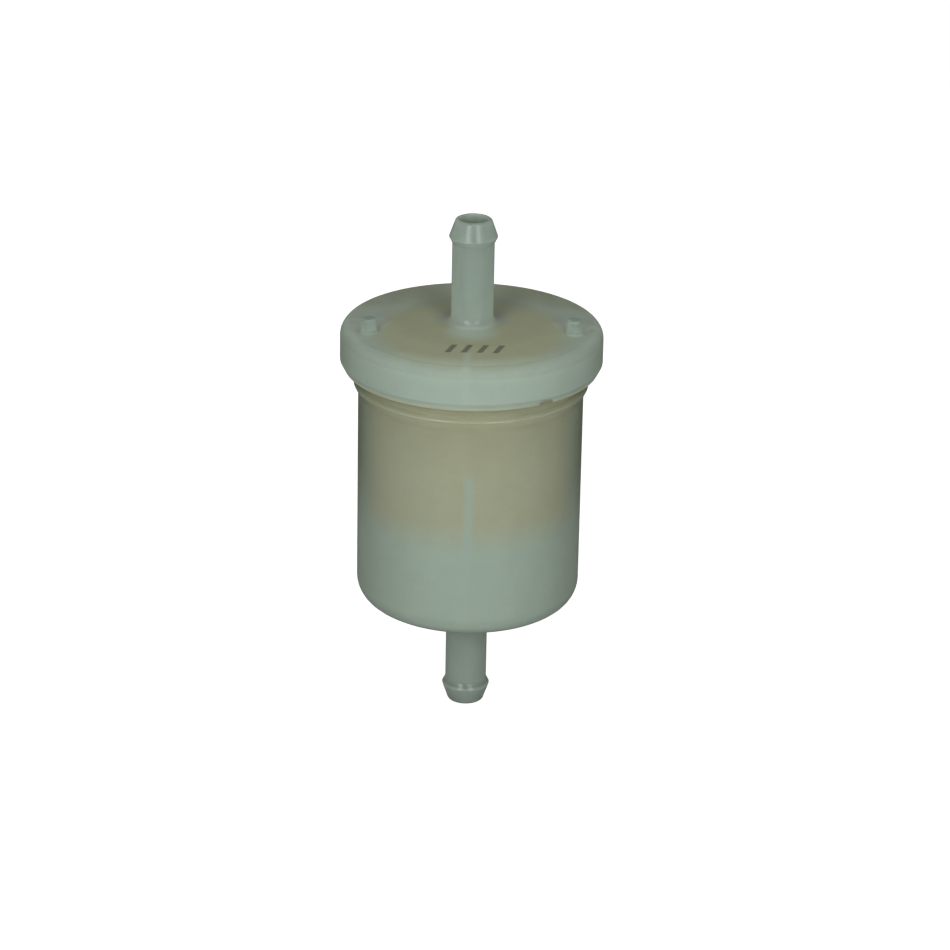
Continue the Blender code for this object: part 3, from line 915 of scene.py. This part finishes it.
def cap_face_tint(tree, away):
    """The cap without its studs and spigot: cream where the paper shows, milky round it, with painted light
    and shade: darker back, outlines and spigot shadow, lighter front rim and lip.
    """
    top = on_cap_top(tree)
    depth = depth_share(tree)
    below = radius_below(tree, CAP_SEEN_DEPTH)
    paper = tree.times(tree.ramp(tree.z, 62.7, 63.5), tree.ramp(below, 12.0, 16.5, 1.0, 0.0))
    root = tree.times(top, tree.ramp(below, 1.5, 5.2, 1.0, 0.0))
    # Painted shadow: the spigot's shadow beside its foot, on the side away from the viewer.
    painted_shadow_beside_root = tree.times(
        top,
        tree.ramp(tree.r, 4.5, 8.0, 1.0, 0.0),
        tree.ramp(depth, 0.2, -0.02),
    )
    gusset = tree.times(
        rib_line(tree, GUSSET_AZIMUTH, GUSSET_WIDTH),
        tree.ramp(tree.r, GUSSET_INNER_R - 2.3, GUSSET_INNER_R - 0.3),
        tree.ramp(tree.r, 18.0, 18.8, 1.0, 0.85),
        tree.ramp(tree.z, 62.5, 63.5, 0.1, 0.65),
    )
    # Painted light: the rim of the top nearest the viewer lightened.
    painted_light_front = tree.times(
        tree.ramp(tree.z, 63.1, CAP_BEND_Z),
        tree.ramp(tree.r, 14.8, 17.8),
        tree.ramp(tree.r, 18.2, 19.0, 1.0, 0.0),
        tree.ramp(depth, 0.50, 0.95),
    )
    # Painted shade: the cap's face darker towards its left and right outlines.
    side = tree.times(tree.ramp(tree.z, 62.0, CAP_BEND_Z, 1.0, 0.0), tree.ramp(away, 0.40, 1.0, 0.0, 0.62))
    # The lip: cream from the paper behind it, and painted light that lightens its downward-facing chamfer.
    painted_light_lip = tree.ramp(tree.z, CAP_BOTTOM_Z + 0.2, CAP_CHAMFER_Z - 0.25, 1.0, 0.0)
    colour = tree.mix(top, MILK_FACE, MILK_TOP)
    colour = tree.mix(paper, colour, CREAM_TOP)
    # Painted shade: the back of the top, away from the viewer, tinted olive as it looks in shade.
    colour = tree.mix(tree.times(top, tree.ramp(depth, 0.0, -0.85)), colour, BACK_PAINTED_SHADE)
    colour = tree.mix(gusset, colour, MILK_GUSSET)
    colour = tree.mix(painted_light_front, colour, FRONT_RIM_PAINTED_LIGHT)
    colour = tree.mix(painted_shadow_beside_root, colour, SPIGOT_PAINTED_SHADOW)
    colour = tree.mix(root, colour, MILK_ROOT)
    # Painted light and shade across the cap's top.
    colour = shaded(tree, colour, painted_top_light(tree, depth))
    colour = tree.mix(side, colour, OUTLINE_PAINTED_SHADE)
    return tree.mix(painted_light_lip, colour, CREAM_LIP_PAINTED_LIGHT)


def cap_tint(tree, away):
    """The cap's face, then its studs, its spigot with painted shade on the fillet at its foot, and the ink.
    """
    colour = stud_tint(tree, cap_face_tint(tree, away))
    spigot = tree.times(
        tree.ramp(tree.z, CAP_TOP_Z + 0.1, CAP_TOP_Z + 0.95),
        tree.ramp(tree.r, 5.0, 6.0, 1.0, 0.0),
    )
    colour = tree.mix(spigot, colour, MILK_TUBE)
    fillet = tree.times(
        tree.ramp(tree.r, TUBE_R + 0.03, TUBE_R + 0.25),
        tree.ramp(tree.r, TUBE_R + 0.25, TUBE_R + 0.95, 1.0, 0.0),
        tree.ramp(tree.z, CAP_TOP_Z + 1.25, CAP_TOP_Z + 1.95, 1.0, 0.0),
    )
    # Painted shade: the front of the fillet, facing up into the lights, darkened.
    fillet_front_painted_shade = tree.times(fillet, tree.ramp(away, 0.8, 0.0))
    colour = shaded(tree, colour, tree.ramp(fillet_front_painted_shade, 0.0, 1.0, 1.0, 0.78))
    from_end = tree.math("SUBTRACT", LENGTH, tree.z)
    colour = spigot_tint(tree, colour, away, from_end, BORE_PAINTED_LIGHT)
    # Painted shade: the fillet's left and right sides darker olive.
    colour = tree.mix(tree.times(fillet, tree.ramp(away, 0.25, 0.6)), colour, FILLET_SIDE_PAINTED_SHADE)
    return tree.mix(tree.times(ink_mask(tree), on_cap_top(tree), INK_STRENGTH), colour, INK)


def painted_top_light(tree, depth):
    """Painted light and shade on the cap's top: lighter ring, darker bend, edge and back corners."""
    painted_light_ring = tree.times(tree.ramp(tree.z, 63.2, 63.5), tree.ramp(tree.r, 10.0, 13.0))
    edge = tree.times(
        tree.ramp(tree.z, 61.5, 62.3),
        tree.ramp(tree.z, 62.9, 63.4, 1.0, 0.0),
        tree.ramp(depth, 0.0, 0.5),
    )
    painted_shade_bend = tree.times(
        tree.ramp(tree.r, 18.0, 18.9),
        tree.ramp(tree.z, 63.0, 63.3),
        tree.ramp(depth, 0.2, 0.6),
    )
    corner = tree.times(tree.ramp(off_centre(tree), 8.0, 13.0), tree.ramp(depth, -0.25, -0.5))
    return tree.times(
        tree.ramp(painted_shade_bend, 0.0, 1.0, 1.0, 0.90),
        tree.ramp(painted_light_ring, 0.0, 1.0, 1.0, 1.06),
        tree.ramp(edge, 0.0, 1.0, 1.0, 0.86),
        tree.ramp(corner, 0.0, 1.0, 1.0, 0.85),
    )


def stud_shadow(tree, across, along):
    """Where the two front lights leave a stud's shadows: a band going back from it to each side."""
    bands = []
    for side in (-1.0, 1.0):
        lean = math.radians(KEY_AZIMUTH) * side
        down = tree.math("ADD", tree.times(along, math.cos(lean)), tree.times(across, math.sin(lean)))
        off = tree.math("SUBTRACT", tree.times(across, math.cos(lean)), tree.times(along, math.sin(lean)))
        bands.append(
            tree.times(
                tree.ramp(down, 0.7, 1.6),
                tree.ramp(down, 3.0, 6.2, 1.0, 0.0),
                tree.ramp(tree.math("ABSOLUTE", off), 0.8, 1.9, 1.0, 0.0),
            )
        )
    return tree.math("MAXIMUM", *bands)


def stud_tint(tree, colour):
    """Painted light and shade on the studs and round their feet, standing in for the light that milky nylon
    spreads.
    """
    up = tree.nodes.new("ShaderNodeSeparateXYZ")
    tree.link(tree.nodes.new("ShaderNodeNewGeometry").outputs["Normal"], up.inputs[0])
    facing_up = tree.ramp(up.outputs[2], 0.3, 0.85)
    upright = tree.math("SUBTRACT", 1.0, facing_up)
    height = tree.ramp(tree.z, CAP_TOP_Z - 0.2, CAP_TOP_Z + STUD_RISE - 0.4)
    # Painted shade: the stud walls darker, a little less at the foot.
    wall = tree.mix(height, STUD_FOOT_PAINTED_SHADE, STUD_WALL_PAINTED_SHADE)
    for x, y in STUD_PLACES:
        across = tree.math("SUBTRACT", tree.x, x)
        aside = tree.math("ABSOLUTE", across)
        along = tree.math("SUBTRACT", tree.y, y)
        away = tree.math("SQRT", tree.math("ADD", tree.times(aside, aside), tree.times(along, along)))
        shadow = stud_shadow(tree, across, along)
        # Painted light: lightens the bands where the studs' shadows fall.
        colour = tree.mix(tree.times(shadow, facing_up), colour, STUD_SHADOW_PAINTED_LIGHT)
        # Painted light: the stud walls lighter towards their flanks.
        painted_light_flank = tree.ramp(aside, 0.4, STUD_R, 1.0, 1.35)
        sides = tree.times(tree.ramp(away, STUD_R + 0.25, STUD_R + 0.65, 1.0, 0.0), upright)
        colour = tree.mix(sides, colour, shaded(tree, wall, painted_light_flank))
    high = tree.ramp(tree.z, CAP_TOP_Z + 0.6, CAP_TOP_Z + 1.2)
    above = tree.times(high, tree.ramp(tree.r, 13.0, 14.0))
    # Painted light: the studs' tops lighter.
    colour = tree.mix(tree.times(above, facing_up), colour, STUD_TOP_PAINTED_LIGHT)
    # Painted shade: the studs' rounded rims darker where they catch the lights.
    painted_shade_rim = tree.times(tree.ramp(up.outputs[2], 0.1, 0.4), tree.ramp(up.outputs[2], 0.8, 0.97, 1.0, 0.0))
    return tree.mix(tree.times(above, painted_shade_rim), colour, STUD_RIM_PAINTED_SHADE)


def fibres(tree, scale):
    """Two crossing sets of long thin streaks, as in paper or felt."""
    layers = []
    for stretch in ((1.0, 1.0, 0.15), (0.25, 0.25, 1.0)):
        node = tree.nodes.new("ShaderNodeVectorMath")
        node.operation = "MULTIPLY"
        tree.link(tree.point, node.inputs[0])
        node.inputs[1].default_value = stretch
        layers.append(tree.noise(scale, 6.0, node.outputs[0]))
    return tree.math("MULTIPLY", tree.math("ADD", *layers), 0.5)


def filter_paper():
    """Resin-stiffened cream paper: fibres, faint clouds, and painted shade that darkens the folds towards
    their inner edge.
    """
    tree = Tree("filter_paper")
    fibre = fibres(tree, 3.0)
    # Painted shade: the paper darker towards the inner folds, deep between the pleats.
    depth = tree.ramp(tree.r, PLEAT_INNER_R, PLEAT_OUTER_R, 0.82, 1.0)
    colour = tree.mix(tree.ramp(fibre, 0.38, 0.62), (0.66, 0.53, 0.32), (0.80, 0.69, 0.47))
    colour = tree.mix(tree.ramp(tree.noise(0.3), 0.35, 0.65, 0.0, 0.35), colour, (0.72, 0.56, 0.33))
    colour = tree.mix(1.0, colour, grey(tree, depth), "MULTIPLY")
    tree.set(Base_Color=colour, Roughness=tree.ramp(fibre, 0.3, 0.7, 0.80, 0.95), IOR=1.45)
    tree.bump(fibre, 0.04)
    return tree.material


def pressed_plate():
    """Brownish pressed fibre board: flecks of pulp and a matt, slightly pitted surface."""
    tree = Tree("end_plate")
    pulp = fibres(tree, 1.6)
    flecks = tree.ramp(tree.noise(4.0, 2.0), 0.62, 0.70)
    colour = tree.mix(tree.ramp(pulp, 0.4, 0.6), (0.47, 0.42, 0.31), (0.60, 0.55, 0.43))
    colour = tree.mix(tree.times(flecks, 0.5), colour, (0.30, 0.25, 0.17))
    tree.set(Base_Color=colour, Roughness=tree.ramp(pulp, 0.3, 0.7, 0.72, 0.88))
    tree.bump(pulp, 0.03)
    return tree.material


def adhesive():
    """Set amber adhesive: glossy, with soft lumps and a few milky clouds."""
    tree = Tree("adhesive")
    lumps = tree.noise(0.8, 2.0)
    colour = tree.mix(tree.ramp(tree.noise(0.35), 0.35, 0.65), (0.72, 0.62, 0.38), (0.82, 0.76, 0.56))
    tree.set(
        Base_Color=colour,
        Roughness=tree.ramp(lumps, 0.3, 0.7, 0.34, 0.50),
        Subsurface_Weight=0.3,
        Subsurface_Radius=(1.0, 0.7, 0.4),
        Subsurface_Scale=0.5 * MM,
    )
    tree.bump(lumps, 0.08)
    return tree.material


def core_plastic():
    """Natural polypropylene with faint flow lines up its length."""
    tree = Tree("core_plastic")
    angle = tree.math("ARCTAN2", tree.y, tree.x)
    flow = tree.math("SINE", tree.math("ADD", tree.times(angle, 16.0), tree.times(tree.noise(0.5), 5.0)))
    colour = tree.mix(tree.ramp(flow, -1.0, 1.0), (0.70, 0.71, 0.66), (0.78, 0.78, 0.73))
    grain = tree.noise(5.0)
    tree.set(Base_Color=colour, Roughness=tree.ramp(grain, 0.3, 0.7, 0.42, 0.56))
    tree.bump(grain, 0.01)
    return tree.material


def rubber():
    """Black nitrile rubber with a dusty bloom."""
    tree = Tree("seal_rubber")
    bloom = tree.ramp(tree.noise(1.5, 5.0), 0.45, 0.70)
    tree.set(
        Base_Color=tree.mix(bloom, (0.022, 0.022, 0.022), (0.055, 0.054, 0.050)),
        Roughness=tree.ramp(bloom, 0.0, 1.0, 0.50, 0.72),
    )
    tree.bump(tree.noise(6.0), 0.01)
    return tree.material


def seam_tape():
    """Woven tape soaked in adhesive: threads run up and across it."""
    tree = Tree("seam_tape")
    up = tree.math("SINE", tree.times(tree.z, 14.0))
    across = tree.math("SINE", tree.times(tree.r, 14.0))
    weave = tree.math("ABSOLUTE", tree.times(up, across))
    colour = tree.mix(weave, (0.58, 0.53, 0.40), (0.76, 0.73, 0.60))
    tree.set(Base_Color=colour, Roughness=tree.ramp(weave, 0.0, 1.0, 0.66, 0.54))
    tree.bump(weave, 0.04)
    return tree.material


# Stage.


def build_floor():
    bm = bmesh.new()
    bmesh.ops.create_grid(bm, x_segments=1, y_segments=1, size=FLOOR_HALF_SIZE)
    bmesh.ops.translate(bm, vec=(0, 0, -FLOOR_DROP), verts=bm.verts)
    floor = to_object(bm, "floor")
    floor.data.materials.append(stage_material())


def stage_material():
    """Near-white for the camera, dimmer as a light on the object, and clear when seen from below."""
    tree = Tree("pale_floor")
    path = tree.nodes.new("ShaderNodeLightPath")
    back = tree.nodes.new("ShaderNodeNewGeometry").outputs["Backfacing"]
    clear = tree.nodes.new("ShaderNodeBsdfTransparent")
    mixed = tree.nodes.new("ShaderNodeMixShader")
    output = tree.nodes["Material Output"]
    seen = path.outputs["Is Camera Ray"]
    tree.set(
        Base_Color=tree.mix(seen, (0.20, 0.21, 0.19), (0.80, 0.80, 0.80)),
        Roughness=0.9,
        Specular_IOR_Level=0.0,
        Emission_Color=(1.0, 1.0, 1.0),
        Emission_Strength=tree.times(seen, 0.88),
    )
    tree.link(back, mixed.inputs[0])
    tree.link(tree.shader.outputs[0], mixed.inputs[1])
    tree.link(clear.outputs[0], mixed.inputs[2])
    tree.link(mixed.outputs[0], output.inputs["Surface"])
    return tree.material


def build_world():
    """White behind the object, and a dimmer room that lights it."""
    world = bpy.data.worlds.new("studio")
    bpy.context.scene.world = world
    world.use_nodes = True
    nodes = world.node_tree.nodes
    links = world.node_tree.links
    path = nodes.new("ShaderNodeLightPath")
    strength = nodes.new("ShaderNodeMapRange")
    strength.inputs["To Min"].default_value = 0.12
    strength.inputs["To Max"].default_value = 1.0
    links.new(path.outputs["Is Camera Ray"], strength.inputs["Value"])
    background = nodes["Background"]
    background.inputs["Color"].default_value = (1.0, 1.0, 1.0, 1.0)
    links.new(strength.outputs[0], background.inputs["Strength"])


def direction(azimuth, elevation):
    """Unit vector from the object to a place at that azimuth, counted from the front, and elevation."""
    a = math.radians(azimuth)
    e = math.radians(elevation)
    return Vector((math.sin(a) * math.cos(e), -math.cos(a) * math.cos(e), math.sin(e)))


def softbox(name, azimuth, elevation, size, power, mirrored=True):
    """A rectangular light aimed at the object, which shows in its gloss only when mirrored."""
    light = bpy.data.lights.new(name, "AREA")
    light.shape = "RECTANGLE"
    light.size, light.size_y = size
    light.energy = power
    lamp = bpy.data.objects.new(name, light)
    bpy.context.scene.collection.objects.link(lamp)
    towards = direction(azimuth, elevation)
    lamp.location = CAMERA_AIM + towards * LIGHT_DISTANCE
    lamp.rotation_euler = towards.to_track_quat("Z", "Y").to_euler()
    lamp.visible_glossy = mirrored


def build_lights():
    softbox("key_left", -KEY_AZIMUTH, KEY_ELEVATION, KEY_SIZE, KEY_LEFT_POWER)
    softbox("key_right", KEY_AZIMUTH, KEY_ELEVATION, KEY_SIZE, KEY_RIGHT_POWER)
    softbox("back_left", -BACK_AZIMUTH, BACK_ELEVATION, BACK_SIZE, BACK_POWER, mirrored=False)
    softbox("back_right", BACK_AZIMUTH, BACK_ELEVATION, BACK_SIZE, BACK_POWER, mirrored=False)


def build_camera():
    data = bpy.data.cameras.new("camera")
    data.lens = CAMERA_LENS
    camera = bpy.data.objects.new("camera", data)
    bpy.context.scene.collection.objects.link(camera)
    back = direction(0.0, CAMERA_ELEVATION)
    camera.location = CAMERA_AIM + back * CAMERA_DISTANCE
    turn = back.to_track_quat("Z", "Y").to_matrix() @ Matrix.Rotation(math.radians(CAMERA_ROLL), 3, "Z")
    camera.rotation_euler = turn.to_euler()
    bpy.context.scene.camera = camera


def main():
    build_bowl(nylon("bowl_nylon", bowl_tint, lambda tree: NYLON_GLOSS))
    build_cap(nylon("cap_nylon", cap_tint, cap_gloss))
    build_element()
    build_floor()
    build_world()
    build_lights()
    build_camera()
    bpy.context.scene.view_settings.view_transform = "Standard"


main()
